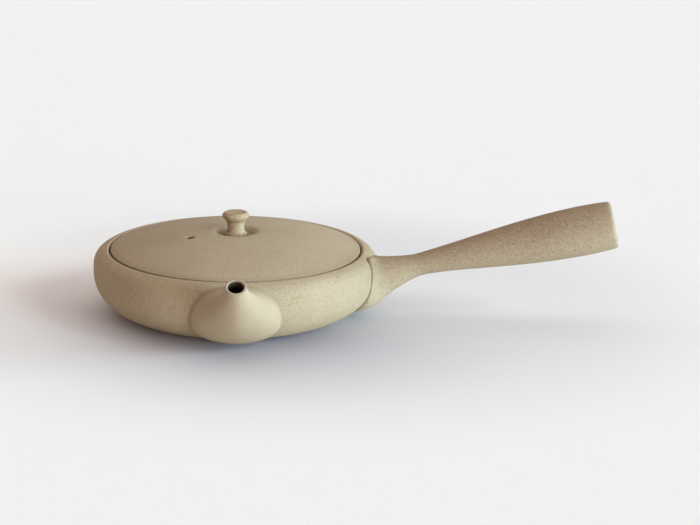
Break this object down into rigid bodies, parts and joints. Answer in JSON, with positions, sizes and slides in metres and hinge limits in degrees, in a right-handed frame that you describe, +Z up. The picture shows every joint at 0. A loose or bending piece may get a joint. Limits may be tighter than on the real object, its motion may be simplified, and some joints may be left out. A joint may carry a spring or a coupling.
{
  "type": "side-handled teapot",
  "caption": "Flat round side-handled teapot of unglazed stoneware: wide low body, short upturned spout, hollow tapering handle, inset domed lid with small round knob.",
  "frame": {"origin": "centre of the flat foot, on the surface that the pot stands on", "axes": "+Z up along the axis of the thrown body, -Y along the spout, and +X near the handle, which is turned 8.5 degrees from it towards the spout"},
  "size_m": [0.2122, 0.1375, 0.0516],
  "materials": {
    "pale_clay": "unglazed, matt, with fine speckle",
    "brown_clay": "unglazed, matt, coarser brown speckle"
  },
  "bodies": {
    "pot": {"pot_body": "pale_clay", "spout": "pale_clay", "strainer": "pale_clay", "handle": "brown_clay"},
    "lid": {"lid": "pale_clay", "knob": "pale_clay"}
  },
  "joints": [
    {"name": "lid_lift", "type": "slide", "parent": "pot", "child": "lid", "axis": [0, 0, 1], "range_m": [0, 0.08]}
  ]
}
